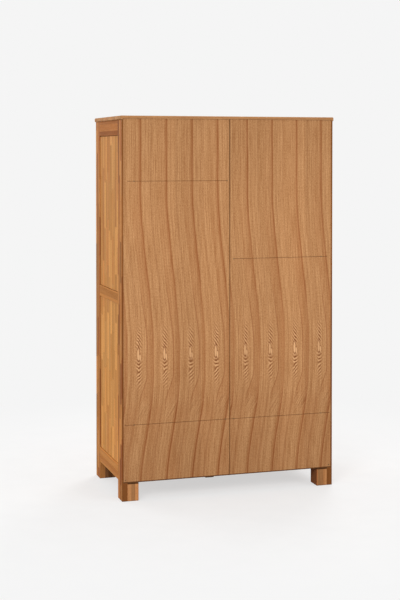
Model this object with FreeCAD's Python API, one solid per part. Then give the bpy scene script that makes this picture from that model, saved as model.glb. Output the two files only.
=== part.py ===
import FreeCAD, Part
import math
import os

from FreeCAD import Vector

# Solid-oak armoire: two inset doors over two side-by-side drawers, frame-and-panel sides,
# square laminated legs and a two-piece veneered back.
# Millimetres. +Z is up, the doors face -Y, and the origin is on the floor under the middle
# of the whole armoire, knobs and top board included.

os.makedirs("parts", exist_ok=True)

# ---------------------------------------------------------------- overall sizes
overall_height = 1900.0
body_width = 1117.0
body_depth = 566.0
leg_height = 91.0
leg_size = 84.0

# ---------------------------------------------------------------- top board
top_thickness = 20.0
top_side_overhang = 5.0
top_front_overhang = 10.0
top_back_overhang = 3.0
top_edge_round = 5.0
top_back_rebate = 6.0

# ---------------------------------------------------------------- side frames
side_thickness = 28.0
side_top_rail = 76.0
side_middle_rail = 57.0
side_bottom_rail = 76.0
middle_rail_base = 967.0

# ---------------------------------------------------------------- panels held in frames
panel_recess = 5.0
side_panel_thickness = 14.0
door_panel_thickness = 12.0
panel_gap = 1.5
tongue_thickness = 6.0
tongue_length = 9.0
groove_depth = 10.0
groove_clearance = 0.15

# ---------------------------------------------------------------- frame joinery
tenon_length = 24.0
tenon_thickness = 9.0
tenon_shoulder = 12.0
small_shoulder = 5.0
arris = 1.5
small_arris = 1.0

# ---------------------------------------------------------------- front frame
face_thickness = 28.0
header_rail = 56.0
drawer_rail = 28.0
base_rail = 27.0

# ---------------------------------------------------------------- boards
board_thickness = 20.0
shelf_thickness = 18.0
divider_thickness = 22.0
divider_housing = 6.0
back_thickness = 6.0
back_recess = 1.0
back_lip = 6.5
back_seam = 1.0
wardrobe_floor_centre = 376.0
fixed_shelf_centre = 1184.0
hat_space = 302.0
shelf_setback = 8.0
loose_shelf_gap = 2.0

# ---------------------------------------------------------------- battens, rail and pins
batten_thickness = 18.0
batten_height = 30.0
rail_batten_height = 84.0
hanging_rail_radius = 12.5
hanging_rail_wall = 1.5
hanging_rail_drop = 48.0
flange_radius = 25.0
flange_thickness = 4.0
flange_socket_radius = 16.0
flange_socket_length = 14.0
shelf_pin_radius = 2.5
shelf_pin_depth = 8.0
shelf_pin_reach = 12.0
shelf_hole_pitch = 48.0
fit_clearance = 0.05
hole_spare = 1.0

# ---------------------------------------------------------------- back screws and score lines
screw_head_radius = 3.2
screw_head_height = 1.6
screw_shank_radius = 1.6
screw_length = 18.0
screw_side_inset = 34.0
foot_screw_outset = 10.0
foot_screw_lift = 14.0
score_width = 1.8
score_depth = 0.7
score_end = 8.0

# ---------------------------------------------------------------- doors
door_thickness = 22.0
door_stile = 72.0
door_top_rail = 76.0
door_bottom_rail = 84.0
door_gap = 2.5
door_hinge_gap = 2.0
door_meeting_gap = 3.0
door_stop_gap = 1.0
door_tenon_thickness = 8.0
door_knob_height = 1040.0

# ---------------------------------------------------------------- hinges
hinge_height = 64.0
hinge_leaf_width = 16.0
hinge_leaf_thickness = 1.6
hinge_barrel_radius = 3.5
hinge_barrel_gap = 0.3
hinge_pin_radius = 1.5
hinge_pin_head = 3.0
hinge_knuckles = 5
hinge_knuckle_gap = 0.2
hinge_end_distance = 150.0

# ---------------------------------------------------------------- catches
catch_width = 14.0
catch_depth = 30.0
catch_height = 46.0
catch_gap = 0.5
catch_below_header = 40.0
strike_thickness = 1.2
strike_height = 40.0

# ---------------------------------------------------------------- knobs
knob_reach = 28.0
knob_radius = 18.0
knob_neck_radius = 8.5
knob_base_radius = 12.0
knob_base_thickness = 4.0
knob_head_thickness = 15.0
knob_shoulder_radius = 14.0
knob_crown = 3.0
knob_spigot_radius = 5.0
knob_spigot_length = 14.0

# ---------------------------------------------------------------- drawers
drawer_gap = 2.0
drawer_front_thickness = 20.0
drawer_front_rebate = 12.0
drawer_side_thickness = 12.0
drawer_bottom_thickness = 5.0
drawer_bottom_lift = 10.0
drawer_bottom_gap = 1.0
drawer_bottom_groove = 6.0
drawer_side_drop = 10.0
drawer_back_drop = 12.0
drawer_rear_space = 34.0
drawer_running_gap = 0.3
runner_margin = 10.0
guide_gap = 1.0
guide_height = 40.0
stop_length = 14.0
stop_height = 20.0

# ---------------------------------------------------------------- centre foot
foot_size = 46.0
foot_from_front = 190.0

# ---------------------------------------------------------------- planes that pieces share
side_outer = body_width / 2
side_inner = side_outer - side_thickness
face_inner = side_outer - leg_size
divider_face = divider_thickness / 2
whole_depth = knob_reach + body_depth + top_back_overhang
front = -whole_depth / 2 + knob_reach
back = front + body_depth
inside_front = front + face_thickness
inside_back = back - back_recess - back_thickness
door_back = front + door_thickness
carcass_top = overall_height - top_thickness
middle_rail_span = (middle_rail_base, middle_rail_base + side_middle_rail)

bottom_board_span = (leg_height, leg_height + board_thickness)
base_rail_top = leg_height + base_rail
floor_span = (wardrobe_floor_centre - board_thickness / 2, wardrobe_floor_centre + board_thickness / 2)
drawer_rail_span = (wardrobe_floor_centre - drawer_rail / 2, wardrobe_floor_centre + drawer_rail / 2)
header_base = carcass_top - header_rail

hat_shelf_centre = carcass_top - hat_space
hat_shelf_span = (hat_shelf_centre - shelf_thickness / 2, hat_shelf_centre + shelf_thickness / 2)
fixed_shelf_span = (fixed_shelf_centre - shelf_thickness / 2, fixed_shelf_centre + shelf_thickness / 2)
loose_shelf_bases = [
    (floor_span[1] + fixed_shelf_span[0] - shelf_thickness) / 2,
    (fixed_shelf_span[1] + carcass_top - shelf_thickness) / 2,
]
shelf_front = inside_front + shelf_setback
hanging_rail_centre = hat_shelf_span[0] - hanging_rail_drop
hanging_rail_y = (shelf_front + inside_back) / 2

door_low = drawer_rail_span[1] + door_gap
door_high = header_base - door_gap
door_outer = face_inner - door_hinge_gap
door_inner = door_meeting_gap / 2
hinge_x = face_inner - door_hinge_gap / 2
hinge_y = front - hinge_barrel_radius - hinge_barrel_gap
hinge_bases = [
    door_low + hinge_end_distance - hinge_height / 2,
    (door_low + door_high - hinge_height) / 2,
    door_high - hinge_end_distance - hinge_height / 2,
]
catch_span = (header_base - catch_below_header - catch_height, header_base - catch_below_header)

SIDES = {"left": -1, "right": 1}
ALONG_X = Vector(1, 0, 0)
ALONG_Y = Vector(0, 1, 0)
ALONG_Z = Vector(0, 0, 1)


# ---------------------------------------------------------------- helpers
def slab(x, y, z):
    """A block between two limits on each axis, given in either order."""
    size = [abs(span[1] - span[0]) for span in (x, y, z)]
    return Part.makeBox(size[0], size[1], size[2], Vector(min(x), min(y), min(z)))


def grown(span, amount):
    """A span pushed outwards by an amount at both ends, whichever way it runs."""
    return (min(span) - amount, max(span) + amount)


def mirrored(side, span):
    """The same span on the left (-1) or right (+1) of the middle."""
    return (side * span[0], side * span[1])


def eased(shape, radius=arris, direction=None):
    """Round the straight edges of a shape, or only those along one direction."""
    edges = shape.Edges
    if direction is not None:
        edges = [e for e in edges if e.tangentAt(e.FirstParameter).cross(direction).Length < 1e-6]
    return shape.makeFillet(radius, edges)


def cut_all(shape, tools):
    """Take every tool out of a shape."""
    for tool in tools:
        shape = shape.cut(tool)
    return shape


def save(node, *solids):
    """Write one sub-part. Repeated identical pieces go in together as separate solids."""
    shape = solids[0] if len(solids) == 1 else Part.makeCompound(list(solids))
    shape.exportStep("parts/" + node + ".step")


def side_slab(u, v, w):
    """Block of a frame that stands along Y: u is Y, v is X and w is Z."""
    return slab(v, u, w)


def front_slab(u, v, w):
    """Block of a frame that stands along X: u is X, v is Y and w is Z."""
    return slab(u, v, w)


# ---------------------------------------------------------------- frame and panel
def framed_panels(block, along, u, show, inner, w, stile, rails, tenon, thickness):
    """Two stiles, rails with tenons, and loose panels held by tongues in grooves.

    block and along say how the frame stands. u and w are its width and height, show and inner
    are its two faces, rails are (low, high) heights from the bottom up, and thickness is the
    panels' own.
    """
    inward = 1 if inner > show else -1
    mid = (show + inner) / 2
    tenon_v = (mid - tenon / 2, mid + tenon / 2)
    panel_v = (show + inward * panel_recess, show + inward * (panel_recess + thickness))
    tongue_start = show + inward * (panel_recess + (thickness - tongue_thickness) / 2)
    tongue_v = (tongue_start, tongue_start + inward * tongue_thickness)
    open_u = (u[0] + stile, u[1] - stile)

    bays = [(rails[i][1], rails[i + 1][0]) for i in range(len(rails) - 1)]
    grooves = []
    panels = []
    for bay in bays:
        groove_u = grown(open_u, groove_depth)
        groove_w = grown(bay, groove_depth)
        grooves.append(block(groove_u, grown(tongue_v, groove_clearance), groove_w))
        body = eased(block(grown(open_u, -panel_gap), panel_v, grown(bay, -panel_gap)), small_arris)
        tongue = block(grown(open_u, tongue_length), tongue_v, grown(bay, tongue_length))
        panels.append(body.fuse(tongue).removeSplitter())

    tenons = []
    rail_solids = []
    for low, high in rails:
        tenon_w = (low + tenon_shoulder, high - tenon_shoulder)
        tenon_block = block(grown(open_u, tenon_length), tenon_v, tenon_w)
        blank = eased(block(open_u, (show, inner), (low, high)), arris, along)
        tenons.append(tenon_block)
        rail_solids.append(cut_all(blank.fuse(tenon_block), grooves))

    stile_a = cut_all(eased(block((u[0], open_u[0]), (show, inner), w)), grooves + tenons)
    stile_b = cut_all(eased(block((open_u[1], u[1]), (show, inner), w)), grooves + tenons)
    return stile_a, stile_b, rail_solids, panels


# ---------------------------------------------------------------- drilled and mortised places
def shelf_pin_places():
    """Each pin of the loose shelves: its Y, its height and where it leaves the wood."""
    places = []
    for base in loose_shelf_bases:
        for y in (front + leg_size / 2, back - leg_size / 2):
            for x_face, into in ((-side_inner, -1), (-divider_face, 1)):
                places.append((x_face, into, y, base - shelf_pin_radius))
    return places


def shelf_pin_holes():
    """Three holes a pitch apart for each pin, so that a shelf can move up or down."""
    holes = []
    for x_face, into, y, height in shelf_pin_places():
        for step in (-1, 0, 1):
            start = Vector(x_face, y, height + step * shelf_hole_pitch)
            radius = shelf_pin_radius + fit_clearance
            holes.append(Part.makeCylinder(radius, shelf_pin_depth + hole_spare, start, ALONG_X * into))
    return holes


def hinge_mortises(side, face_x, into):
    """Shallow seats for the three leaves in a door edge or a face stile."""
    x = (face_x, face_x + into * hinge_leaf_thickness)
    y = (front, front + hinge_leaf_width)
    return [slab(mirrored(side, x), y, (base, base + hinge_height)) for base in hinge_bases]


def back_screw_places():
    """Where the screws go through the back: into the shelves, the floor and the feet."""
    edge = score_end + screw_head_radius
    inset = side_inner - screw_side_inset
    return [
        (divider_face + screw_head_radius, hat_shelf_centre),
        (inset, hat_shelf_centre),
        (-divider_face - edge, fixed_shelf_centre),
        (-inset, fixed_shelf_centre),
        (-inset, wardrobe_floor_centre),
        (-divider_face - edge, wardrobe_floor_centre),
        (divider_face + edge, wardrobe_floor_centre),
        (inset, wardrobe_floor_centre),
        (-side_inner - foot_screw_outset, leg_height + foot_screw_lift),
        (side_inner + foot_screw_outset, leg_height + foot_screw_lift),
    ]


def back_screw(x, z, extra=0.0):
    """A countersunk screw that stands along Y with its head in the back's outer face."""
    outer = back - back_recess
    head = Part.makeCone(
        screw_shank_radius + extra,
        screw_head_radius + extra,
        screw_head_height,
        Vector(x, outer - screw_head_height, z),
        ALONG_Y,
    )
    shank_length = screw_length - screw_head_height
    shank_start = Vector(x, outer - screw_head_height, z)
    shank = Part.makeCylinder(screw_shank_radius + extra, shank_length + extra, shank_start, -ALONG_Y)
    return head.fuse(shank).removeSplitter()


screw_holes = [back_screw(x, z, fit_clearance) for x, z in back_screw_places()]


# ---------------------------------------------------------------- sides
def back_seat():
    """The rebated space that the back fills, from the legs up into the top board."""
    half = side_outer - back_lip
    height = (leg_height, carcass_top + top_back_rebate)
    return slab((-half, half), (inside_back, back + top_back_overhang), height)


def make_side(name, side):
    rails = [
        (leg_height, leg_height + side_bottom_rail),
        middle_rail_span,
        (carcass_top - side_top_rail, carcass_top),
    ]
    front_stile, rear_stile, rail_solids, panels = framed_panels(
        side_slab, ALONG_Y, (front, back), side * side_outer, side * side_inner,
        (0.0, carcass_top), leg_size, rails, tenon_thickness, side_panel_thickness,
    )
    holes = shelf_pin_holes() if side < 0 else []
    save(name + "_front_stile", cut_all(front_stile, holes))
    save(name + "_rear_stile", cut_all(rear_stile, holes + [back_seat()] + screw_holes))
    for part_name, rail in zip(("bottom", "middle", "top"), rail_solids):
        save(name + "_side_" + part_name + "_rail", rail)
    save(name + "_side_panels", *panels)


def leg_block(side, y):
    """The glued block that makes a stile into a square leg."""
    return eased(slab(mirrored(side, (face_inner, side_inner)), y, (0.0, leg_height)))


def make_leg_blocks():
    blocks = []
    for side in SIDES.values():
        blocks.append(leg_block(side, (inside_front, front + leg_size)))
        blocks.append(leg_block(side, (back - leg_size, back)))
    save("leg_blocks", *blocks)


# ---------------------------------------------------------------- front frame
def face_rail(z):
    """A front rail between the face stiles, with a tenon at each end."""
    blank = eased(slab((-face_inner, face_inner), (front, inside_front), z), arris, ALONG_X)
    return blank.fuse(face_tenon(z))


def face_tenon(z):
    """Both tenons of a front rail as one bar, which also cuts the mortises."""
    middle = (front + inside_front) / 2
    y = (middle - tenon_thickness / 2, middle + tenon_thickness / 2)
    return slab(grown((-face_inner, face_inner), tenon_length), y, grown(z, -small_shoulder))


face_rails = {
    "base_rail": (leg_height, base_rail_top),
    "drawer_rail": drawer_rail_span,
    "header_rail": (header_base, carcass_top),
}


def make_front_frame():
    for name, z in face_rails.items():
        save(name, face_rail(z))
    mortises = [face_tenon(z) for z in face_rails.values()]
    for name, side in SIDES.items():
        x = mirrored(side, (face_inner, side_inner))
        blank = eased(slab(x, (front, inside_front), (0.0, carcass_top)))
        seats = hinge_mortises(side, face_inner, 1)
        save(name + "_face_stile", cut_all(blank, mortises + seats))


# ---------------------------------------------------------------- top, boards and dividers
def make_top_board():
    half = side_outer + top_side_overhang
    y = (front - top_front_overhang, back + top_back_overhang)
    board = eased(slab((-half, half), y, (carcass_top, overall_height)), top_edge_round)
    save("top_board", cut_all(board, [back_seat(), divider_body()]))


def divider_body():
    """The upper divider behind the front frame, with its ends let into the top and the floor."""
    z = (floor_span[1] - divider_housing, carcass_top + divider_housing)
    return slab((-divider_face, divider_face), (inside_front, inside_back), z)


def make_dividers():
    x = (-divider_face, divider_face)
    door_stop = slab(x, (door_back + door_stop_gap, inside_front), (drawer_rail_span[1], header_base))
    upper = divider_body().fuse(door_stop).removeSplitter()
    save("centre_divider", cut_all(upper, shelf_pin_holes()))

    behind = slab(x, (inside_front, inside_back), (bottom_board_span[1], floor_span[0]))
    between = slab(x, (front, inside_front), (base_rail_top, drawer_rail_span[0]))
    save("drawer_divider", behind.fuse(between).removeSplitter())


def make_boards():
    across = (-side_inner, side_inner)
    depth = (inside_front, inside_back)
    save("bottom_board", cut_all(slab(across, depth, bottom_board_span), screw_holes))
    floor = slab(across, depth, floor_span)
    save("wardrobe_floor", cut_all(floor, [divider_body()] + screw_holes))

    shelf_depth = (shelf_front, inside_back)
    hat_shelf = eased(slab((divider_face, side_inner), shelf_depth, hat_shelf_span), arris, ALONG_X)
    save("hat_shelf", cut_all(hat_shelf, screw_holes))
    fixed_x = (-side_inner, -divider_face)
    fixed_shelf = eased(slab(fixed_x, shelf_depth, fixed_shelf_span), arris, ALONG_X)
    save("fixed_shelf", cut_all(fixed_shelf, screw_holes))

    loose_x = (-side_inner + loose_shelf_gap, -divider_face - loose_shelf_gap)
    loose_y = (shelf_front, inside_back - loose_shelf_gap)
    loose = [eased(slab(loose_x, loose_y, (base, base + shelf_thickness))) for base in loose_shelf_bases]
    save("adjustable_shelves", *loose)


def make_shelf_pins():
    pins = []
    for x_face, into, y, height in shelf_pin_places():
        start = Vector(x_face + into * shelf_pin_depth, y, height)
        length = shelf_pin_depth + shelf_pin_reach
        pins.append(Part.makeCylinder(shelf_pin_radius, length, start, ALONG_X * -into))
    save("shelf_pins", *pins)


def batten(x, top, height):
    """A strip under the end of a board, from the shelf's front edge to the back."""
    return eased(slab(x, (shelf_front, inside_back), (top - height, top)), arris, ALONG_Y)


def make_battens():
    at_side = (side_inner - batten_thickness, side_inner)
    at_divider = (divider_face, divider_face + batten_thickness)
    battens = [
        batten(mirrored(-1, at_side), floor_span[0], batten_height),
        batten(at_side, floor_span[0], batten_height),
        batten(at_side, hat_shelf_span[0], rail_batten_height),
        batten(at_divider, hat_shelf_span[0], rail_batten_height),
        batten(mirrored(-1, at_side), fixed_shelf_span[0], batten_height),
        batten(mirrored(-1, at_divider), fixed_shelf_span[0], batten_height),
    ]
    save("shelf_battens", *battens)


# ---------------------------------------------------------------- hanging rail
def rail_flange(x_face, into):
    """A turned socket on a round plate that holds one end of the hanging rail."""
    centre = Vector(x_face, hanging_rail_y, hanging_rail_centre)
    direction = ALONG_X * into
    plate = Part.makeCylinder(flange_radius, flange_thickness, centre, direction)
    socket = Part.makeCylinder(flange_socket_radius, flange_socket_length, centre, direction)
    bore_start = centre + direction * flange_thickness
    bore = Part.makeCylinder(
        hanging_rail_radius + fit_clearance, flange_socket_length, bore_start, direction,
    )
    rim = plate.fuse(socket).removeSplitter()
    return rim.cut(bore)


def make_hanging_rail():
    low = divider_face + batten_thickness
    high = side_inner - batten_thickness
    save("rail_flanges", rail_flange(low, 1), rail_flange(high, -1))
    start = Vector(low + flange_thickness, hanging_rail_y, hanging_rail_centre)
    length = high - low - 2 * flange_thickness
    tube = Part.makeCylinder(hanging_rail_radius, length, start, ALONG_X)
    hollow = Part.makeCylinder(hanging_rail_radius - hanging_rail_wall, length, start, ALONG_X)
    save("hanging_rail", tube.cut(hollow))


# ---------------------------------------------------------------- back
def score_line(x, z):
    """A shallow marking line across the outer face of the back, at a board's mid height."""
    outer = back - back_recess
    return slab(x, (outer - score_depth, outer), (z - score_width / 2, z + score_width / 2))


def make_back():
    outer_edge = side_outer - back_lip
    inner_edge = back_seam / 2
    line_start = divider_face + score_end
    lines = [
        score_line((line_start, side_inner), hat_shelf_centre),
        score_line((-line_start, -side_inner), fixed_shelf_centre),
        score_line((-outer_edge + score_end, outer_edge - score_end), wardrobe_floor_centre),
    ]
    for name, side in SIDES.items():
        x = mirrored(side, (inner_edge, outer_edge))
        y = (inside_back, back - back_recess)
        panel = slab(x, y, (leg_height, carcass_top + top_back_rebate))
        save(name + "_back_panel", cut_all(panel, lines + screw_holes))
    save("back_screws", *[back_screw(x, z) for x, z in back_screw_places()])


# ---------------------------------------------------------------- hinges
def knuckle_spans(base, door_side):
    """Heights of the knuckles of one leaf. The door has the second and the fourth."""
    step = hinge_height / hinge_knuckles
    spans = []
    for index in range(hinge_knuckles):
        if (index % 2 == 1) == door_side:
            spans.append((base + index * step + hinge_knuckle_gap, base + (index + 1) * step))
    return spans


def hinge_leaf(side, base, door_side):
    """A flat leaf in its seat and its share of the barrel."""
    toward = -1 if door_side else 1
    near = hinge_x + toward * door_hinge_gap / 2
    x = mirrored(side, (near, near + toward * hinge_leaf_thickness))
    leaf = slab(x, (front, front + hinge_leaf_width), (base, base + hinge_height))
    axis_x = side * hinge_x
    for low, high in knuckle_spans(base, door_side):
        foot = Vector(axis_x, hinge_y, low)
        barrel = Part.makeCylinder(hinge_barrel_radius, high - low, foot, ALONG_Z)
        strap = slab(x, (hinge_y, front), (low, high))
        leaf = leaf.fuse(barrel).fuse(strap)
    bore_radius = hinge_pin_radius + fit_clearance
    bore = Part.makeCylinder(bore_radius, hinge_height, Vector(axis_x, hinge_y, base), ALONG_Z)
    return leaf.cut(bore).removeSplitter()


def hinge_pin(side, base):
    """A pin with a small ball end above and below the barrel."""
    centre = Vector(side * hinge_x, hinge_y, base)
    pin = Part.makeCylinder(hinge_pin_radius, hinge_height, centre, ALONG_Z)
    for end, up in ((base, -1), (base + hinge_height, 1)):
        place = Vector(side * hinge_x, hinge_y, end)
        dome = Part.makeSphere(hinge_pin_head, place, ALONG_Z * up, 0, 90)
        pin = pin.fuse(dome)
    return pin.removeSplitter()


def make_hinges():
    fixed_leaves = []
    pins = []
    for name, side in SIDES.items():
        fixed_leaves += [hinge_leaf(side, base, False) for base in hinge_bases]
        pins += [hinge_pin(side, base) for base in hinge_bases]
        save(name + "_door_hinge_leaves", *[hinge_leaf(side, base, True) for base in hinge_bases])
    save("hinge_frame_leaves", *fixed_leaves)
    save("hinge_pins", *pins)


# ---------------------------------------------------------------- knobs
def knob(x, z):
    """A turned knob whose spigot goes straight back into the wood."""
    head_start = knob_reach - knob_head_thickness
    crown_start = knob_reach - knob_crown
    points = [
        Vector(0, knob_spigot_length, 0),
        Vector(knob_spigot_radius, knob_spigot_length, 0),
        Vector(knob_spigot_radius, 0, 0),
        Vector(knob_base_radius, 0, 0),
        Vector(knob_base_radius, -knob_base_thickness, 0),
    ]
    neck = Vector(knob_neck_radius, -(knob_base_thickness + head_start) / 2, 0)
    head_low = Vector(knob_shoulder_radius, -head_start, 0)
    rim = Vector(knob_radius, -(head_start + crown_start) / 2, 0)
    shoulder = Vector(knob_shoulder_radius, -crown_start, 0)
    crown = Vector(0, -knob_reach, 0)
    crown_radius = (knob_shoulder_radius ** 2 + knob_crown ** 2) / (2 * knob_crown)
    half = knob_shoulder_radius / 2
    crown_fall = crown_radius - math.sqrt(crown_radius ** 2 - half ** 2)
    crown_mid = Vector(half, -knob_reach + crown_fall, 0)
    edges = [Part.LineSegment(a, b).toShape() for a, b in zip(points, points[1:])]
    edges.append(Part.Arc(points[-1], neck, head_low).toShape())
    edges.append(Part.Arc(head_low, rim, shoulder).toShape())
    edges.append(Part.Arc(shoulder, crown_mid, crown).toShape())
    edges.append(Part.LineSegment(crown, points[0]).toShape())
    turned = Part.Face(Part.Wire(edges)).revolve(Vector(0, 0, 0), ALONG_Y, 360)
    turned.translate(Vector(x, front, z))
    return turned


def knob_hole(x, z):
    """The blind hole for a knob's spigot."""
    radius = knob_spigot_radius + fit_clearance
    return Part.makeCylinder(radius, knob_spigot_length + hole_spare, Vector(x, front, z), ALONG_Y)


# ---------------------------------------------------------------- doors
def make_door(name, side):
    u = sorted(mirrored(side, (door_inner, door_outer)))
    rails = [
        (door_low, door_low + door_bottom_rail),
        middle_rail_span,
        (door_high - door_top_rail, door_high),
    ]
    low_stile, high_stile, rail_solids, panels = framed_panels(
        front_slab, ALONG_X, u, front, door_back,
        (door_low, door_high), door_stile, rails, door_tenon_thickness, door_panel_thickness,
    )
    meeting, hinged = (low_stile, high_stile) if side > 0 else (high_stile, low_stile)
    knob_x = side * (door_inner + door_stile / 2)
    strike = slab(
        mirrored(side, (divider_face, divider_face + catch_width)),
        (door_back - strike_thickness, door_back),
        grown(catch_span, (strike_height - catch_height) / 2),
    )
    meeting = cut_all(meeting, [knob_hole(knob_x, door_knob_height), strike])
    save(name + "_door_meeting_stile", meeting)
    save(name + "_door_hinge_stile", cut_all(hinged, hinge_mortises(side, door_outer, -1)))
    save(name + "_door_rails", *rail_solids)
    save(name + "_door_panels", *panels)
    save(name + "_door_knob", knob(knob_x, door_knob_height))
    save(name + "_strike_plate", strike)


def make_catches():
    y = (door_back + catch_gap, door_back + catch_gap + catch_depth)
    catches = []
    for side in SIDES.values():
        x = mirrored(side, (divider_face, divider_face + catch_width))
        catches.append(eased(slab(x, y, catch_span), small_arris))
    save("door_catches", *catches)


# ---------------------------------------------------------------- drawers
drawer_x = (divider_face + drawer_gap, face_inner - drawer_gap)
drawer_front_z = (base_rail_top + drawer_gap, drawer_rail_span[0] - drawer_gap)
drawer_side_z = (base_rail_top + drawer_running_gap, drawer_front_z[1] - drawer_side_drop)
drawer_y = (front + drawer_front_rebate, inside_back - drawer_rear_space)
drawer_inner_side = (drawer_x[0], drawer_x[0] + drawer_side_thickness)
drawer_outer_side = (drawer_x[1] - drawer_side_thickness, drawer_x[1])
drawer_bottom_z = (
    drawer_side_z[0] + drawer_bottom_lift,
    drawer_side_z[0] + drawer_bottom_lift + drawer_bottom_thickness,
)


def make_drawer(name, side):
    inner = mirrored(side, drawer_inner_side)
    outer = mirrored(side, drawer_outer_side)
    between = mirrored(side, (drawer_inner_side[1], drawer_outer_side[0]))
    front_back_face = front + drawer_front_thickness
    bottom = slab(
        grown(between, drawer_bottom_groove - drawer_bottom_gap),
        (front_back_face - drawer_bottom_groove + drawer_bottom_gap, drawer_y[1]),
        drawer_bottom_z,
    )
    groove = slab(
        grown(between, drawer_bottom_groove),
        (front_back_face - drawer_bottom_groove, drawer_y[1]),
        grown(drawer_bottom_z, groove_clearance),
    )
    side_blanks = [slab(x, drawer_y, drawer_side_z) for x in (inner, outer)]
    box_sides = [eased(blank, arris, ALONG_Y).cut(groove) for blank in side_blanks]
    back_z = (drawer_bottom_z[1] + groove_clearance, drawer_side_z[1] - drawer_back_drop)
    box_back = slab(between, (drawer_y[1] - drawer_side_thickness, drawer_y[1]), back_z)
    knob_x = side * (drawer_x[0] + drawer_x[1]) / 2
    knob_z = (drawer_front_z[0] + drawer_front_z[1]) / 2
    face = eased(slab(mirrored(side, drawer_x), (front, front_back_face), drawer_front_z))
    face = cut_all(face, side_blanks + [groove, knob_hole(knob_x, knob_z)])
    save(name + "_drawer_front", face)
    save(name + "_drawer_box", *box_sides, box_back)
    save(name + "_drawer_bottom", bottom)
    save(name + "_drawer_knob", knob(knob_x, knob_z))


def make_runners():
    """Strips that the drawers slide on, guides beside them, and stops behind them."""
    strip_z = (bottom_board_span[1], base_rail_top)
    strip_y = (inside_front, inside_back)
    stop_y = (drawer_y[1] + drawer_running_gap, drawer_y[1] + drawer_running_gap + stop_length)
    solids = []
    for side in SIDES.values():
        inner_x = (divider_face, drawer_inner_side[1] + runner_margin)
        outer_x = (drawer_outer_side[0] - runner_margin, side_inner)
        guide_x = (drawer_outer_side[1] + guide_gap, side_inner)
        solids.append(slab(mirrored(side, inner_x), strip_y, strip_z))
        solids.append(slab(mirrored(side, outer_x), strip_y, strip_z))
        guide_z = (base_rail_top, base_rail_top + guide_height)
        solids.append(slab(mirrored(side, guide_x), strip_y, guide_z))
        stop_z = (base_rail_top, base_rail_top + stop_height)
        solids.append(slab(mirrored(side, drawer_inner_side), stop_y, stop_z))
        solids.append(slab(mirrored(side, drawer_outer_side), stop_y, stop_z))
    save("drawer_runners", *solids)


# ---------------------------------------------------------------- centre foot
def make_centre_foot():
    y = (front + foot_from_front, front + foot_from_front + foot_size)
    foot = eased(slab((-foot_size / 2, foot_size / 2), y, (0.0, leg_height)))
    save("centre_foot", foot)


for side_name, side_sign in SIDES.items():
    make_side(side_name, side_sign)
    make_door(side_name, side_sign)
    make_drawer(side_name, side_sign)
make_leg_blocks()
make_front_frame()
make_top_board()
make_dividers()
make_boards()
make_shelf_pins()
make_battens()
make_hanging_rail()
make_back()
make_hinges()
make_catches()
make_runners()
make_centre_foot()
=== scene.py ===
"""An oak armoire with two framed doors and two drawers, seen from the back: materials, light and camera."""

import math

import bmesh
import bpy
from mathutils import Matrix, Vector


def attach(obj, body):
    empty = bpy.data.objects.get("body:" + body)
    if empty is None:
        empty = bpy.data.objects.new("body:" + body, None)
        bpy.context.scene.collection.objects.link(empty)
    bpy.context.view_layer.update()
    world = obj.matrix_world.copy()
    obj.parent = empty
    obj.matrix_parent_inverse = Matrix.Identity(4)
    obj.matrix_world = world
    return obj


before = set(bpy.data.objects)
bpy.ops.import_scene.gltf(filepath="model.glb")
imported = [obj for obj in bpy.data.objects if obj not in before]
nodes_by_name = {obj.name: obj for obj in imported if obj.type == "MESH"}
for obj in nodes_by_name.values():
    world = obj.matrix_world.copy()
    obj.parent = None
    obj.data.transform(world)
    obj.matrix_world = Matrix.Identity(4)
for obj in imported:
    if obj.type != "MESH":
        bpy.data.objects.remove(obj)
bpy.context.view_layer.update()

X, Y, Z = 0, 1, 2


def srgb(red, green, blue):
    """A colour picked as 0-255 screen values, as the linear colour a shader takes."""
    linear = []
    for part in (red / 255, green / 255, blue / 255):
        linear.append(part / 12.92 if part <= 0.04045 else ((part + 0.055) / 1.055) ** 2.4)
    return (*linear, 1.0)


# ---------------------------------------------------------------- shader helpers


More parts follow.
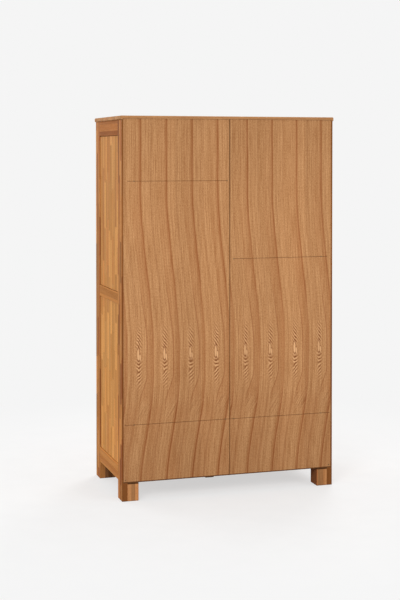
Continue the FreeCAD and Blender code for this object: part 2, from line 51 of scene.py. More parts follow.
class Shader:
    """One node material, written as expressions on sockets and numbers."""

    def __init__(self, name):
        self.material = bpy.data.materials.new(name)
        self.material.use_nodes = True
        self.tree = self.material.node_tree
        self.tree.nodes.clear()
        self.output = self.tree.nodes.new("ShaderNodeOutputMaterial")

    def node(self, kind, **settings):
        made = self.tree.nodes.new(kind)
        for key, value in settings.items():
            setattr(made, key, value)
        return made

    def feed(self, socket, value):
        """A number or colour is set on the socket, and another node's output is linked to it."""
        if isinstance(value, bpy.types.NodeSocket):
            self.tree.links.new(value, socket)
        elif value is not None:
            socket.default_value = value

    def math(self, operation, first, second=None, third=None, clamp=False):
        made = self.node("ShaderNodeMath", operation=operation, use_clamp=clamp)
        for socket, value in zip(made.inputs, (first, second, third)):
            self.feed(socket, value)
        return made.outputs[0]

    def add(self, first, second):
        return self.math("ADD", first, second)

    def sub(self, first, second):
        return self.math("SUBTRACT", first, second)

    def mul(self, first, second):
        return self.math("MULTIPLY", first, second)

    def between(self, value, start, end, low=0.0, high=1.0):
        """A smooth step from low at start to high at end; start may be the larger."""
        made = self.node("ShaderNodeMapRange", interpolation_type="SMOOTHSTEP")
        for key, entry in zip(
            ("Value", "From Min", "From Max", "To Min", "To Max"), (value, start, end, low, high)
        ):
            self.feed(made.inputs[key], entry)
        return made.outputs["Result"]

    def bell(self, value, centre, width):
        """1 at the centre, fading to about a third one width away."""
        offset = self.math("DIVIDE", self.sub(value, centre), width)
        return self.math("EXPONENT", self.mul(self.mul(offset, offset), -1.0))

    def vector(self, x, y, z):
        made = self.node("ShaderNodeCombineXYZ")
        for socket, value in zip(made.inputs, (x, y, z)):
            self.feed(socket, value)
        return made.outputs[0]

    def place(self):
        """The three coordinates of a point on the object, in metres, at rest."""
        made = self.node("ShaderNodeSeparateXYZ")
        self.feed(made.inputs[0], self.node("ShaderNodeTexCoord").outputs["Object"])
        return made.outputs

    def noise(self, vector, detail=2.0, roughness=0.5, scale=1.0):
        made = self.node("ShaderNodeTexNoise", noise_dimensions="3D")
        self.feed(made.inputs["Vector"], vector)
        made.inputs["Scale"].default_value = scale
        made.inputs["Detail"].default_value = detail
        made.inputs["Roughness"].default_value = roughness
        return made.outputs["Fac"]

    def random(self, *values):
        """A fixed random number from 0 to 1 for each set of whole numbers."""
        made = self.node("ShaderNodeTexWhiteNoise", noise_dimensions="3D")
        padded = list(values) + [0.0] * (3 - len(values))
        self.feed(made.inputs["Vector"], self.vector(*padded))
        return made.outputs["Value"]

    def mix(self, factor, first, second, blend="MIX"):
        made = self.node("ShaderNodeMix", data_type="RGBA", blend_type=blend, clamp_factor=True)
        self.feed(made.inputs["Factor"], factor)
        self.feed(made.inputs[6], first)
        self.feed(made.inputs[7], second)
        return made.outputs[2]

    def tone(self, colour, value=1.0, saturation=1.0, hue=0.5):
        made = self.node("ShaderNodeHueSaturation")
        self.feed(made.inputs["Color"], colour)
        self.feed(made.inputs["Value"], value)
        self.feed(made.inputs["Saturation"], saturation)
        self.feed(made.inputs["Hue"], hue)
        return made.outputs["Color"]

    def bump(self, height, distance, strength=1.0):
        made = self.node("ShaderNodeBump")
        made.inputs["Strength"].default_value = strength
        made.inputs["Distance"].default_value = distance
        self.feed(made.inputs["Height"], height)
        return made.outputs["Normal"]

    def edge(self, radius):
        """1 on a sharp outer arris and 0 on the flat, from how far a rounded normal turns."""
        soft = self.node("ShaderNodeBevel", samples=4)
        soft.inputs["Radius"].default_value = radius
        flat = self.node("ShaderNodeNewGeometry").outputs["Normal"]
        dot = self.node("ShaderNodeVectorMath", operation="DOT_PRODUCT")
        self.feed(dot.inputs[0], soft.outputs["Normal"])
        self.feed(dot.inputs[1], flat)
        return self.between(dot.outputs["Value"], 0.995, 0.86)

    def recess(self, distance):
        """1 in a deep corner and 0 in the open."""
        made = self.node("ShaderNodeAmbientOcclusion", samples=4)
        made.inputs["Distance"].default_value = distance
        return self.sub(1.0, made.outputs["AO"])

    def finish(self, colour, roughness, normal=None, **constants):
        made = self.node("ShaderNodeBsdfPrincipled")
        self.feed(made.inputs["Base Color"], colour)
        self.feed(made.inputs["Roughness"], roughness)
        if normal is not None:
            self.feed(made.inputs["Normal"], normal)
        for key, value in constants.items():
            made.inputs[key.replace("_", " ")].default_value = value
        self.feed(self.output.inputs["Surface"], made.outputs[0])
        return self.material


# ---------------------------------------------------------------- wood

OAK = {
    "pale": srgb(198, 138, 80),
    "deep": srgb(164, 104, 53),
    "dark": srgb(108, 58, 26),
    "red": srgb(158, 90, 50),
}
RAIL_OAK = {
    "pale": srgb(188, 120, 58),
    "deep": srgb(156, 90, 40),
    "dark": srgb(100, 54, 20),
    "red": srgb(152, 86, 42),
}
LEG_OAK = {
    "pale": srgb(198, 142, 92),
    "deep": srgb(158, 102, 60),
    "dark": srgb(96, 50, 24),
    "red": srgb(150, 84, 46),
}
LIGHT_RAIL_OAK = {
    "pale": srgb(208, 144, 80),
    "deep": srgb(174, 112, 55),
    "dark": srgb(110, 60, 26),
    "red": srgb(166, 98, 50),
}
PANEL_OAK = {
    "pale": srgb(222, 162, 94),
    "deep": srgb(192, 128, 66),
    "dark": srgb(118, 66, 30),
    "red": srgb(190, 118, 66),
}
TOP_OAK = {
    "pale": srgb(204, 154, 106),
    "deep": srgb(172, 118, 74),
    "dark": srgb(112, 66, 34),
    "red": srgb(166, 104, 64),
}
BARE_WOOD = {
    "pale": srgb(226, 196, 150),
    "deep": srgb(202, 164, 114),
    "dark": srgb(158, 116, 72),
    "red": srgb(208, 160, 112),
}


def staved_wood(name, palette, grain, across, stave, finger, spread, seed, joint_line=None, back_edge=None):
    """Boards glued up from staves: each has its own tone and rings, and finger joints where it is not one length."""
    s = Shader(name)
    place = s.place()
    depth = 3 - grain - across
    a, g, d = place[across], place[grain], place[depth]

    wander = s.noise(s.vector(s.mul(a, 0.6 / stave), float(seed), 0.0), detail=1.0)
    lane = s.math("DIVIDE", s.add(a, s.mul(s.sub(wander, 0.5), 1.3 * stave)), stave)
    index = s.math("FLOOR", lane)
    in_lane = s.math("FRACT", lane)
    lane_tone = s.random(index, float(seed))
    if finger:
        comb = s.math("PINGPONG", a, 0.004)
        along = s.add(s.math("DIVIDE", s.add(g, s.mul(comb, 2.2)), finger), s.mul(lane_tone, 7.3))
        length = s.math("FLOOR", along)
        tone = s.random(index, length, float(seed))
        shift = s.random(length, index, float(seed + 1))
        joint = s.math("FRACT", along)
        end_line = s.between(s.mul(s.math("PINGPONG", joint, 0.5), finger), 0.0, 0.0012, 1.0, 0.0)
    else:
        tone = lane_tone
        shift = s.random(index, float(seed + 1))
        end_line = 0.0

    sway = s.noise(s.vector(s.mul(shift, 40.0), s.mul(g, 2.2), s.mul(a, 3.0)), detail=1.5)
    pith_a = s.add(s.mul(s.sub(shift, 0.5), 0.16), s.mul(s.sub(sway, 0.5), 0.05))
    pith_d = s.add(s.mul(tone, 0.05), 0.012)
    ring_a = s.add(s.mul(s.sub(in_lane, 0.5), stave), pith_a)
    ring_d = s.add(d, pith_d)
    radius = s.math("SQRT", s.add(s.mul(ring_a, ring_a), s.mul(ring_d, ring_d)))
    rings = s.noise(s.vector(s.mul(radius, 260.0), s.mul(shift, 30.0), s.mul(g, 0.5)), detail=2.0)

    drift = s.mul(shift, 17.0)
    fibres = s.noise(
        s.vector(s.mul(a, 420.0), s.mul(g, 9.0), s.add(s.mul(d, 420.0), drift)), detail=2.0, roughness=0.6
    )
    pores = s.noise(
        s.vector(s.mul(a, 1500.0), s.mul(g, 70.0), s.add(s.mul(d, 1500.0), drift)), detail=0.0
    )
    pore = s.between(pores, 0.60, 0.74)
    cloud = s.noise(s.vector(s.mul(a, 9.0), s.mul(g, 3.0), s.add(s.mul(d, 9.0), drift)), detail=1.0)

    figure = s.add(s.mul(s.between(rings, 0.34, 0.66), 0.55), s.mul(s.between(fibres, 0.30, 0.70), 0.45))
    colour = s.mix(figure, palette["pale"], palette["deep"])
    colour = s.mix(s.mul(s.between(shift, 0.62, 0.95), 0.55 * spread), colour, palette["red"])
    lightness = s.add(1.0, s.mul(s.sub(tone, 0.5), 0.42 * spread))
    lightness = s.add(lightness, s.mul(s.sub(cloud, 0.5), 0.16))
    # Painted light: the wood is up to 13 per cent lighter towards the floor.
    lightness = s.mul(lightness, s.between(place[Z], 1.35, 0.15, 1.0, 1.13))
    colour = s.tone(colour, value=lightness)
    colour = s.mix(s.mul(pore, 0.34), colour, palette["dark"])
    glue = s.between(s.mul(s.math("PINGPONG", in_lane, 0.5), stave), 0.0, 0.0007, 0.5, 0.0)
    colour = s.mix(s.math("MAXIMUM", glue, s.mul(end_line, 0.45)), colour, palette["dark"])

    if joint_line:
        # Partly a dark joint, partly painted shade: the top of a leg, just under the joint line, is darkened.
        dark_joint_and_shade = s.mul(s.between(place[Z], joint_line - 0.0080, joint_line - 0.0060), 0.90)
        colour = s.mix(dark_joint_and_shade, colour, srgb(60, 32, 14))
        # Painted shade: the inner faces of the legs, turned towards the middle, are darkened.
        facing = s.node("ShaderNodeSeparateXYZ")
        s.feed(facing.inputs[0], s.node("ShaderNodeNewGeometry").outputs["Normal"])
        inward = [s.mul(s.mul(facing.outputs[i], s.math("SIGN", place[i])), -1.0) for i in (X, Y)]
        shaded = s.between(s.math("MAXIMUM", *inward), 0.3, 0.8)
        colour = s.mix(s.mul(shaded, 0.62), colour, srgb(60, 32, 14))
    if back_edge:
        # Painted shade: the stile's strip beside the back panel is darkened.
        rear_strip_shade = s.mul(s.math("GREATER_THAN", place[Y], back_edge), 0.72)
        colour = s.mix(rear_strip_shade, colour, palette["dark"])
    wear = s.mul(s.edge(0.0016), s.between(cloud, 0.38, 0.62, 0.25, 0.8))
    if joint_line:
        wear = s.mul(wear, s.between(place[Z], joint_line - 0.0060, joint_line - 0.0080))
    colour = s.mix(wear, colour, s.tone(colour, value=1.22, saturation=0.9))
    # Painted shade: darker in recesses and corners.
    recess_shade = s.between(s.recess(0.016), 0.30, 0.85)
    colour = s.mix(s.mul(recess_shade, 0.62), colour, palette["dark"])

    roughness = s.add(0.50, s.add(s.mul(figure, 0.10), s.mul(pore, 0.12)))
    height = s.sub(s.mul(figure, 0.5), pore)
    return s.finish(colour, roughness, s.bump(height, 0.00018, 0.55), Specular_IOR_Level=0.015)


def back_veneer_wood(name):
    """Slip-matched veneer: one figured leaf laid four times across each panel, with a streak that sways and an eye."""
    s = Shader(name)
    place = s.place()
    x, z = place[X], place[Z]
    leaf = 0.134
    right = s.math("GREATER_THAN", x, 0.0)
    start = s.add(s.mul(right, 0.558), -0.0035)
    a = s.sub(start, x)
    lane = s.math("DIVIDE", a, leaf)
    index = s.add(s.math("FLOOR", lane), s.mul(right, 4.0))
    phase = s.math("FRACT", lane)
    luck = s.random(index, 3.0)
    slip = s.mul(index, 0.22)

    # The streak leaves its line below eye height, swings half a leaf over and comes back near the floor.
    sway = s.mul(s.mul(s.between(z, 1.55, 0.72), s.between(z, 0.06, 0.62)), 0.5)
    tremble = s.noise(s.vector(s.mul(phase, 1.1), s.mul(z, 2.3), slip), detail=2.0)
    ring = s.add(s.sub(lane, sway), s.mul(s.sub(tremble, 0.5), 0.09))
    after = s.math("FRACT", s.sub(ring, 0.68))
    flow = s.mul(after, leaf)

    fibres = s.noise(s.vector(s.mul(a, 330.0), s.mul(z, 7.0), index), detail=2.0, roughness=0.6)
    speckle = s.noise(s.vector(s.mul(a, 360.0), s.mul(z, 120.0), index), detail=1.0)
    pores = s.noise(s.vector(s.mul(a, 1300.0), s.mul(z, 60.0), index), detail=0.0)
    pore = s.between(pores, 0.58, 0.74)
    lines = s.noise(s.vector(s.mul(flow, 150.0), s.mul(z, 0.9), slip), detail=2.0, roughness=0.6)
    cloud = s.noise(s.vector(s.mul(a, 5.0), s.mul(z, 2.2), 4.0), detail=2.0)

    pale = srgb(212, 160, 111)
    mid = srgb(164, 111, 67)
    dark = srgb(112, 54, 22)
    red = srgb(160, 94, 50)
    line_brown = srgb(134, 70, 32)
    bright = srgb(232, 180, 130)
    figure = s.add(s.mul(s.between(lines, 0.34, 0.66), 0.27), s.mul(s.between(fibres, 0.34, 0.66), 0.42))
    figure = s.add(figure, s.mul(s.between(speckle, 0.36, 0.64), 0.34))
    colour = s.mix(figure, pale, mid)

    # Left of the streak lies a redder band whose far edge rounds the eye; near the floor it lies to the right.
    low_down = s.between(z, 0.52, 0.44)
    gap = s.add(s.mul(s.between(z, 0.62, 0.48), 0.22), s.between(z, 1.10, 0.76, 0.34, 0.25))
    into_band = s.sub(after, s.sub(1.0, gap))
    above_band = s.mul(s.between(into_band, -0.02, 0.02), s.between(z, 1.75, 0.95, 0.35, 1.0))
    below_band = s.mul(s.between(after, 0.62, 0.45), s.between(after, 0.0, 0.02))
    band = s.add(s.mul(above_band, s.sub(1.0, low_down)), s.mul(below_band, low_down))
    mottle = s.noise(s.vector(s.mul(a, 14.0), s.mul(z, 6.0), slip), detail=2.0)
    colour = s.mix(s.mul(band, s.between(mottle, 0.35, 0.65, 0.12, 0.24)), colour, red)
    lens_edge = s.mul(s.bell(into_band, 0.0, 0.018), s.mul(s.between(z, 1.15, 0.88), s.between(z, 0.42, 0.54)))

    edge_left = s.math("POWER", s.between(after, 0.78, 1.0), 1.5)
    edge_right = s.between(after, 0.0, 0.03, 1.0, 0.0)
    core = s.math("MAXIMUM", s.between(after, 0.952, 0.982), s.between(after, 0.0, 0.014, 1.0, 0.0))
    halo = s.math("MAXIMUM", s.between(after, 0.86, 0.96), s.between(after, 0.0, 0.05, 1.0, 0.0))
    strength = s.mul(s.between(lines, 0.25, 0.6, 0.75, 1.0), s.between(mottle, 0.3, 0.6, 0.65, 1.0))
    streak = s.mul(s.math("MAXIMUM", edge_left, edge_right), 0.02)
    clear = s.math("MAXIMUM", s.between(z, 0.56, 0.42), s.between(z, 0.85, 1.15, 0.0, 0.60))
    colour = s.mix(s.mul(halo, s.add(0.16, s.mul(clear, 0.28))), colour, red)
    colour = s.mix(s.mul(s.mul(core, strength), s.add(0.26, s.mul(clear, 0.52))), colour, line_brown)
    others = s.add(s.mul(s.bell(after, 0.40, 0.03), 0.14), s.mul(s.bell(after, 0.15, 0.02), 0.12))
    colour = s.mix(s.add(streak, others), colour, dark)
    colour = s.mix(s.mul(lens_edge, 0.50), colour, line_brown)

    # Slanting strokes cross the band just above the lowest score line.
    slant = s.noise(
        s.vector(s.mul(s.sub(a, s.mul(z, 0.62)), 260.0), s.mul(z, 6.0), slip), detail=1.0
    )
    slant_zone = s.mul(s.mul(s.bell(z, 0.455, 0.055), s.between(after, 0.45, 0.6)), 0.32)
    colour = s.mix(s.mul(s.between(slant, 0.52, 0.66), s.mul(slant_zone, 0.6)), colour, bright)
    colour = s.mix(s.mul(s.between(slant, 0.46, 0.34), slant_zone), colour, dark)

    # The eye: a pale almond split by a dark line, slanting strokes over it and nested strokes under it.
    bend = s.mul(s.bell(z, 0.74, 0.12), 0.003)
    from_axis = s.add(s.sub(s.mul(phase, leaf), 0.0838), bend)
    over = s.between(z, 0.708, 0.738)
    deep = s.between(z, 0.655, 0.620)
    arms = s.math("SQRT", s.add(s.mul(from_axis, from_axis), 0.0000160))
    under_lean = s.add(s.mul(s.sub(1.0, deep), s.mul(arms, 0.80)), s.mul(deep, s.mul(from_axis, 1.0)))
    lean = s.add(s.mul(over, s.mul(from_axis, -1.30)), s.mul(s.sub(1.0, over), under_lean))
    jitter = s.noise(s.vector(s.mul(phase, 9.0), s.mul(z, 26.0), s.mul(index, 1.7)), detail=1.0)
    level = s.sub(s.sub(z, lean), s.mul(s.sub(jitter, 0.5), 0.018))
    wave = s.math("SINE", s.mul(level, 2 * math.pi / 0.0178))
    reach = s.math(
        "MAXIMUM",
        s.mul(s.between(z, 0.530, 0.620), s.between(z, 0.705, 0.688)),
        s.mul(s.between(z, 0.738, 0.755), s.between(z, 0.880, 0.790)),
    )
    faint = s.mul(s.mul(s.between(z, 0.50, 0.60), s.between(z, 0.96, 0.80)), 0.20)
    broad = s.bell(from_axis, 0.0, 0.021)
    close = s.bell(from_axis, 0.0, 0.0125)
    gain = s.add(s.mul(s.mul(reach, close), s.add(0.90, s.mul(luck, 0.4))), s.mul(faint, broad))
    light_side = s.between(from_axis, 0.012, -0.002, 0.60, 1.0)
    dark_side = s.between(from_axis, -0.012, 0.003, 0.40, 1.0)
    colour = s.mix(s.mul(s.mul(s.between(wave, 0.1, 0.9), gain), s.mul(light_side, 0.62)), colour, bright)
    colour = s.mix(s.mul(s.mul(s.between(wave, -0.1, -0.8), gain), s.mul(dark_side, 0.62)), colour, dark)
    axis_line = s.mul(s.bell(from_axis, 0.0028, 0.0014), s.mul(s.between(z, 0.60, 0.68), s.between(z, 0.84, 0.76)))
    colour = s.mix(s.mul(axis_line, 0.34), colour, dark)

    def almond(shift, height, half_width, half_height):
        across = s.math("DIVIDE", s.sub(from_axis, shift), half_width)
        upward = s.math("DIVIDE", s.sub(z, height), half_height)
        return s.math("SQRT", s.add(s.mul(across, across), s.mul(upward, upward)))

    eye = s.math("MINIMUM", almond(-0.0022, 0.722, 0.0056, 0.031), almond(0.0072, 0.706, 0.0042, 0.018))
    rim = s.mul(s.between(eye, 0.85, 1.05), s.between(eye, 1.5, 1.15))
    colour = s.mix(s.mul(rim, 0.42), colour, dark)
    colour = s.mix(s.mul(s.between(eye, 1.05, 0.75), s.add(0.60, s.mul(luck, 0.3))), colour, bright)

    colour = s.mix(s.mul(pore, 0.24), colour, dark)
    lightness = s.add(0.985, s.mul(s.sub(cloud, 0.5), 0.12))
    lightness = s.add(lightness, s.mul(right, -0.024))
    lightness = s.add(lightness, s.mul(s.sub(luck, 0.5), 0.09))
    # Painted shade: the veneer is darker towards the floor and towards the top.
    lightness = s.mul(lightness, s.between(z, 0.10, 0.80, 0.90, 1.0))
    lightness = s.mul(lightness, s.between(z, 1.90, 1.30, 0.89, 1.0))
    colour = s.tone(colour, value=lightness)
    seam = s.between(s.mul(s.math("PINGPONG", phase, 0.5), leaf), 0.0, 0.0009, 0.22, 0.0)
    colour = s.mix(seam, colour, dark)
    # A dark joint down the centre and dark score lines, with painted shade along the panel's outer and lower rims.
    off_centre = s.math("ABSOLUTE", x)
    centre_gap = s.mul(s.between(off_centre, 0.0034, 0.0012), s.between(z, 0.9, 1.8, 0.50, 0.88))
    outer_rim_shade = s.between(off_centre, 0.5490, 0.5510, 0.0, 0.55)
    lower_rim_shade = s.between(z, 0.0975, 0.0950, 0.0, 0.80)
    scored = s.mul(s.math("LESS_THAN", place[Y], 0.2943), s.math("GREATER_THAN", place[Y], 0.2935))
    rim_shades = s.math("MAXIMUM", outer_rim_shade, lower_rim_shade)
    joints_scores_and_rim_shade = s.math("MAXIMUM", s.math("MAXIMUM", centre_gap, rim_shades), s.mul(scored, 0.8))
    colour = s.mix(joints_scores_and_rim_shade, colour, srgb(70, 38, 14))
    # Painted shade: darker in recesses and corners, such as the rebates beside the stiles.
    recess_shade = s.between(s.recess(0.010), 0.25, 0.75)
    colour = s.mix(s.mul(recess_shade, 0.75), colour, srgb(60, 34, 16))
    # Painted shade: the panel's arrises are darkened.
    colour = s.mix(s.mul(s.edge(0.0012), 0.5), colour, srgb(120, 72, 38))

    roughness = s.add(0.46, s.add(s.mul(figure, 0.08), s.mul(pore, 0.12)))
    normal = s.bump(s.sub(s.mul(figure, 0.4), pore), 0.00014, 0.5)
    return s.finish(colour, roughness, normal, Specular_IOR_Level=0.03)


# ---------------------------------------------------------------- metal and plastic


def aged_brass(name):
    s = Shader(name)
    place = s.place()
    point = s.vector(place[X], place[Y], place[Z])
    patina = s.noise(point, detail=3.0, scale=160.0)
    scuffs = s.noise(s.vector(s.mul(place[X], 900.0), s.mul(place[Y], 900.0), s.mul(place[Z], 120.0)), detail=2.0)
    colour = s.mix(s.between(patina, 0.35, 0.70), srgb(196, 160, 92), srgb(122, 90, 44))
    colour = s.mix(s.mul(s.edge(0.0012), 0.6), colour, srgb(226, 196, 132))
    colour = s.mix(s.mul(s.recess(0.006), 0.7), colour, srgb(66, 44, 20))
    roughness = s.add(0.26, s.add(s.mul(patina, 0.18), s.mul(scuffs, 0.10)))
    return s.finish(colour, roughness, s.bump(scuffs, 0.00005, 0.4), Metallic=1.0)


def satin_steel(name):
    s = Shader(name)
    place = s.place()
    brushed = s.noise(s.vector(s.mul(place[X], 60.0), s.mul(place[Y], 2000.0), s.mul(place[Z], 2000.0)), detail=2.0)
    marks = s.noise(s.vector(place[X], place[Y], place[Z]), detail=3.0, scale=90.0)
    colour = s.mix(s.between(marks, 0.35, 0.75), srgb(196, 194, 190), srgb(148, 145, 140))
    colour = s.mix(s.mul(s.edge(0.0010), 0.5), colour, srgb(222, 220, 216))
    roughness = s.add(0.24, s.add(s.mul(brushed, 0.14), s.mul(marks, 0.10)))
    return s.finish(colour, roughness, s.bump(brushed, 0.00004, 0.4), Metallic=1.0)


def dull_screw_metal(name):
    s = Shader(name)
    place = s.place()
    marks = s.noise(s.vector(place[X], place[Y], place[Z]), detail=3.0, scale=420.0)
    colour = s.mix(s.between(marks, 0.35, 0.70), srgb(132, 108, 76), srgb(82, 60, 38))
    colour = s.mix(s.mul(s.recess(0.003), 0.8), colour, srgb(40, 26, 14))
    return s.finish(colour, s.add(0.34, s.mul(marks, 0.2)), s.bump(marks, 0.00004, 0.4), Metallic=0.85)


def moulded_plastic(name):
    s = Shader(name)
    place = s.place()
    pebble = s.noise(s.vector(place[X], place[Y], place[Z]), detail=2.0, scale=900.0)
    cloud = s.noise(s.vector(place[X], place[Y], place[Z]), detail=1.0, scale=60.0)
    colour = s.mix(cloud, srgb(96, 66, 44), srgb(74, 50, 33))
    colour = s.mix(s.mul(s.edge(0.0010), 0.5), colour, srgb(124, 92, 66))
    return s.finish(colour, s.add(0.42, s.mul(pebble, 0.14)), s.bump(pebble, 0.00006, 0.4))


# ---------------------------------------------------------------- which finish each node has


def dress(material, *names):
    for name in names:
        slots = nodes_by_name[name].data.materials
        if len(slots) == 0:
            slots.append(material)
        for place in range(len(slots)):
            slots[place] = material


def both(*names):
    """Left and right nodes of a pair."""
    return [f"{side}_{name}" for name in names for side in ("left", "right")]


dress(back_veneer_wood("back_veneer"), *both("back_panel"))
dress(staved_wood("top_board_oak", TOP_OAK, X, Y, 0.036, 0.0, 0.9, 1), "top_board")
dress(
    staved_wood("stile_oak", OAK, Z, Y, 0.019, 0.20, 1.5, 2, back_edge=0.2935), *both("front_stile", "rear_stile")
)
dress(staved_wood("leg_oak", LEG_OAK, Z, X, 0.017, 0.0, 2.3, 3, joint_line=0.091), "leg_blocks", "centre_foot")
dress(staved_wood("side_top_rail_oak", RAIL_OAK, Y, Z, 0.030, 0.0, 0.6, 4), *both("side_top_rail"))
dress(
    staved_wood("side_rail_oak", LIGHT_RAIL_OAK, Y, Z, 0.026, 0.0, 0.8, 16),
    *both("side_middle_rail", "side_bottom_rail"),
)
dress(staved_wood("side_panel_oak", PANEL_OAK, Z, Y, 0.034, 0.24, 0.75, 5), *both("side_panels"))
dress(staved_wood("face_stile_oak", OAK, Z, X, 0.024, 0.55, 0.9, 6), *both("face_stile"))
dress(
    staved_wood("front_rail_oak", OAK, X, Z, 0.028, 0.0, 0.6, 7),
    "header_rail", "drawer_rail", "base_rail", *both("door_rails"),
)
dress(
    staved_wood("door_stile_oak", OAK, Z, X, 0.026, 0.55, 0.8, 8),
    *both("door_hinge_stile", "door_meeting_stile"),
)
dress(staved_wood("door_panel_oak", PANEL_OAK, Z, X, 0.036, 0.28, 0.75, 9), *both("door_panels"))
dress(staved_wood("drawer_front_oak", OAK, X, Z, 0.040, 0.42, 0.7, 10), *both("drawer_front"))
dress(
    staved_wood("board_wood", PANEL_OAK, X, Y, 0.042, 0.45, 0.7, 11),
    "wardrobe_floor", "bottom_board", "hat_shelf", "fixed_shelf", "adjustable_shelves",
)
dress(staved_wood("divider_wood", PANEL_OAK, Z, Y, 0.042, 0.45, 0.7, 12), "centre_divider", "drawer_divider")
dress(
    staved_wood("bare_wood", BARE_WOOD, Y, Z, 0.060, 0.0, 0.5, 13),
    "drawer_runners", "shelf_battens", *both("drawer_box"),
)
dress(staved_wood("bare_ply", BARE_WOOD, X, Y, 0.300, 0.0, 0.3, 14), *both("drawer_bottom"))
dress(staved_wood("turned_oak", OAK, Y, X, 0.200, 0.0, 0.2, 15), *both("door_knob", "drawer_knob"))
dress(aged_brass("brass"), "hinge_frame_leaves", "hinge_pins", *both("door_hinge_leaves"))
dress(satin_steel("steel"), "hanging_rail", "rail_flanges", "shelf_pins", *both("strike_plate"))
dress(dull_screw_metal("screw_metal"), "back_screws")
dress(moulded_plastic("brown_plastic"), "door_catches")


# ---------------------------------------------------------------- screw heads on the fittings


def slotted_head(mesh, centre, outward, radius, height, turn):
    """A low domed screw head with a straight slot, added to the mesh; the slot is turned by that angle."""
    n = Vector(outward)
    flat = Vector((0, 0, 1)) if abs(n.z) < 0.5 else Vector((0, 1, 0))
    u_axis = Matrix.Rotation(turn, 3, n) @ flat
    v_axis = n.cross(u_axis)
    slot = radius * 0.17
    rows = [-0.97 * radius, -0.78 * radius, -0.48 * radius, -slot, -0.8 * slot]
    rows += [-across for across in reversed(rows)]
    columns = [-1.0, -0.85, -0.6, -0.3, 0.0, 0.3, 0.6, 0.85, 1.0]
    top = []
    for across in rows:
        half = math.sqrt(radius ** 2 - across ** 2)
        line = []
        for step in columns:
            along = step * half
            level = height * (1 - 0.45 * (across ** 2 + along ** 2) / radius ** 2)
            if abs(across) < 0.9 * slot:
                level *= 0.2
            line.append(mesh.verts.new(Vector(centre) + u_axis * across + v_axis * along + n * level))
        top.append(line)
    for low, high in zip(top, top[1:]):
        for step in range(len(columns) - 1):
            mesh.faces.new((low[step], high[step], high[step + 1], low[step + 1]))
    rim = top[0] + [line[-1] for line in top[1:]] + top[-1][-2::-1] + [line[0] for line in top[-2:0:-1]]
    foot = []
    for corner in rim:
        above = (corner.co - Vector(centre)).dot(n)
        foot.append(mesh.verts.new(corner.co - n * above))
    for step in range(len(rim)):
        after = (step + 1) % len(rim)
        mesh.faces.new((rim[step], rim[after], foot[after], foot[step]))
    mesh.faces.new(foot)


def screws(name, places, radius, height, body, finish):
    """Heads at (centre, outward) places in millimetres, as one piece that rides on a body."""
    mesh = bmesh.new()
    for order, (centre, outward) in enumerate(places):
        point = [value / 1000 for value in centre]
        slotted_head(mesh, point, outward, radius / 1000, height / 1000, 0.7 * order + 0.35)
    bmesh.ops.recalc_face_normals(mesh, faces=mesh.faces)
    data = bpy.data.meshes.new(name)
    mesh.to_mesh(data)
    mesh.free()
    data.materials.append(bpy.data.materials[finish])
    piece = bpy.data.objects.new(name, data)
    bpy.context.scene.collection.objects.link(piece)
    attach(piece, body)


SIDES = {"left": -1, "right": 1}

frame_leaf_screws = []
flange_screws = []
catch_screws = []
batten_screws = []
for side_name, side in SIDES.items():
    hinge_heights = [base + offset for base in (510.5, 1075.0, 1639.5) for offset in (11.0, 53.0)]
    frame_leaf_screws += [((side * 474.5, -261.5, height), (-side, 0, 0)) for height in hinge_heights]
    door_leaf_screws = [((side * 472.5, -261.5, height), (side, 0, 0)) for height in hinge_heights]
    screws(side_name + "_hinge_screws", door_leaf_screws, 3.3, 0.35, side_name + "_door", "brass")
    strike_screws = [((side * 18.0, -248.5, height), (0, 1, 0)) for height in (1747.0, 1775.0)]
    screws(side_name + "_strike_screws", strike_screws, 2.5, 0.22, side_name + "_door", "steel")
    catch_screws += [((side * 25.0, -233.0, height), (side, 0, 0)) for height in (1749.0, 1773.0)]
    batten_screws += [((side * 512.5, depth, 351.0), (-side, 0, 0)) for depth in (-190.0, 27.0, 244.0)]
for depth in (-190.0, 27.0, 244.0):
    batten_screws += [((-512.5, depth, 1160.0), (1, 0, 0)), ((-29.0, depth, 1160.0), (-1, 0, 0))]
for depth in (-190.0, -60.0, 114.0, 244.0):
    batten_screws += [((512.5, depth, 1540.0), (-1, 0, 0)), ((29.0, depth, 1540.0), (1, 0, 0))]
for angle in (90, 210, 330):
    depth = 27.0 + 20.4 * math.cos(math.radians(angle))
    height = 1521.0 + 20.4 * math.sin(math.radians(angle))
    flange_screws += [((33.0, depth, height), (1, 0, 0)), ((508.5, depth, height), (-1, 0, 0))]
screws("frame_leaf_screws", frame_leaf_screws, 3.3, 0.35, "carcass", "brass")
screws("flange_screws", flange_screws, 2.9, 0.9, "carcass", "steel")
screws("catch_screws", catch_screws, 3.0, 0.9, "carcass", "screw_metal")
screws("batten_screws", batten_screws, 4.0, 0.7, "carcass", "screw_metal")


# ---------------------------------------------------------------- floor, light and camera

PALE = srgb(245, 245, 245)


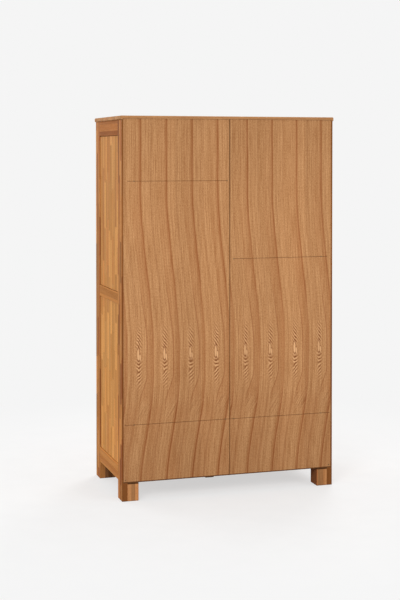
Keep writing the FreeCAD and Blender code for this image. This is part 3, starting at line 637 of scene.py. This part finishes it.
def pale_floor():
    """A wide pale sheet of fine plaster that shows the object's shadow."""
    reach = 30.0
    data = bpy.data.meshes.new("floor")
    data.from_pydata(
        [(-reach, -reach, 0), (reach, -reach, 0), (reach, reach, 0), (-reach, reach, 0)], [], [(0, 1, 2, 3)]
    )
    sheet = bpy.data.objects.new("floor", data)
    bpy.context.scene.collection.objects.link(sheet)
    sheet.location.z = -0.0005

    s = Shader("pale_floor")
    place = s.place()
    grit = s.noise(s.vector(place[X], place[Y], place[Z]), detail=3.0, scale=7.0)
    away = s.math("SQRT", s.add(s.mul(place[X], place[X]), s.mul(place[Y], place[Y])))
    diffuse = s.node("ShaderNodeBsdfDiffuse")
    s.feed(diffuse.inputs["Color"], s.mix(grit, srgb(150, 150, 150), srgb(158, 158, 158)))
    glow = s.node("ShaderNodeEmission")
    glow.inputs["Color"].default_value = (1.0, 1.0, 1.0, 1.0)
    seen = s.node("ShaderNodeLightPath")
    either = s.math("MAXIMUM", seen.outputs["Is Camera Ray"], seen.outputs["Is Glossy Ray"])
    anyone = s.math("MAXIMUM", either, seen.outputs["Is Transmission Ray"])
    s.feed(glow.inputs["Strength"], s.mul(anyone, s.between(away, 0.6, 2.4, 0.58, 0.913)))
    far_off = s.mul(anyone, s.between(away, 0.6, 2.4, 0.0, 1.0))
    nothing = s.node("ShaderNodeEmission")
    nothing.inputs["Strength"].default_value = 0.0
    near_part = s.node("ShaderNodeMixShader")
    s.feed(near_part.inputs[0], far_off)
    s.feed(near_part.inputs[1], diffuse.outputs[0])
    s.feed(near_part.inputs[2], nothing.outputs[0])
    whole = s.node("ShaderNodeAddShader")
    s.feed(whole.inputs[0], near_part.outputs[0])
    s.feed(whole.inputs[1], glow.outputs[0])
    s.feed(s.output.inputs["Surface"], whole.outputs[0])
    data.materials.append(s.material)


def pale_world(strength):
    world = bpy.data.worlds.new("studio")
    world.use_nodes = True
    tree = world.node_tree
    tree.nodes.clear()
    lit = tree.nodes.new("ShaderNodeBackground")
    lit.inputs["Color"].default_value = (1.0, 1.0, 1.0, 1.0)
    lit.inputs["Strength"].default_value = strength
    shown = tree.nodes.new("ShaderNodeBackground")
    shown.inputs["Color"].default_value = PALE
    seen = tree.nodes.new("ShaderNodeLightPath")
    either = tree.nodes.new("ShaderNodeMath")
    either.operation = "MAXIMUM"
    tree.links.new(seen.outputs["Is Camera Ray"], either.inputs[0])
    tree.links.new(seen.outputs["Is Glossy Ray"], either.inputs[1])
    any_seen = tree.nodes.new("ShaderNodeMath")
    any_seen.operation = "MAXIMUM"
    tree.links.new(either.outputs[0], any_seen.inputs[0])
    tree.links.new(seen.outputs["Is Transmission Ray"], any_seen.inputs[1])
    blend = tree.nodes.new("ShaderNodeMixShader")
    tree.links.new(any_seen.outputs[0], blend.inputs[0])
    tree.links.new(lit.outputs[0], blend.inputs[1])
    tree.links.new(shown.outputs[0], blend.inputs[2])
    output = tree.nodes.new("ShaderNodeOutputWorld")
    tree.links.new(blend.outputs[0], output.inputs["Surface"])
    bpy.context.scene.world = world


def soft_lamp(name, spot, aim, size, power):
    data = bpy.data.lights.new(name, "AREA")
    data.shape = "DISK"
    data.size = size
    data.energy = power
    lamp = bpy.data.objects.new(name, data)
    bpy.context.scene.collection.objects.link(lamp)
    lamp.location = spot
    lamp.rotation_euler = (Vector(aim) - Vector(spot)).to_track_quat("-Z", "Y").to_euler()


def photo_camera():
    """The three-quarter back view, from 6.5 m off and a little above the top of the hanging space."""
    data = bpy.data.cameras.new("camera")
    data.sensor_width = 36.0
    data.lens = 77.713
    data.shift_y = -0.20
    data.clip_end = 100.0
    camera = bpy.data.objects.new("camera", data)
    bpy.context.scene.collection.objects.link(camera)
    turn, dip = math.radians(17.421), math.radians(1.198)
    ahead = Vector((-math.sin(turn) * math.cos(dip), -math.cos(turn) * math.cos(dip), -math.sin(dip)))
    sideways = ahead.cross(Vector((0, 0, 1))).normalized()
    above = sideways.cross(ahead)
    axes = Matrix((sideways, above, -ahead)).transposed().to_4x4()
    camera.matrix_world = Matrix.Translation((2.0905, 6.4575, 1.7168)) @ axes
    bpy.context.scene.camera = camera


pale_floor()
pale_world(0.61)
soft_lamp("key", (3.6, 5.2, 3.6), (0.0, 0.0, 1.0), 3.0, 217.0)
soft_lamp("fill", (-3.8, 4.8, 2.4), (0.0, 0.0, 1.0), 3.5, 100.0)
soft_lamp("front_key", (-3.2, -4.8, 3.6), (0.0, 0.0, 1.0), 3.0, 217.0)
soft_lamp("front_fill", (3.6, -4.6, 2.2), (0.0, 0.0, 1.0), 3.5, 100.0)
photo_camera()
bpy.context.scene.view_settings.view_transform = "Standard"
bpy.context.scene.cycles.denoising_prefilter = "NONE"  # keeps the fine grain that a filtered guide blurs away
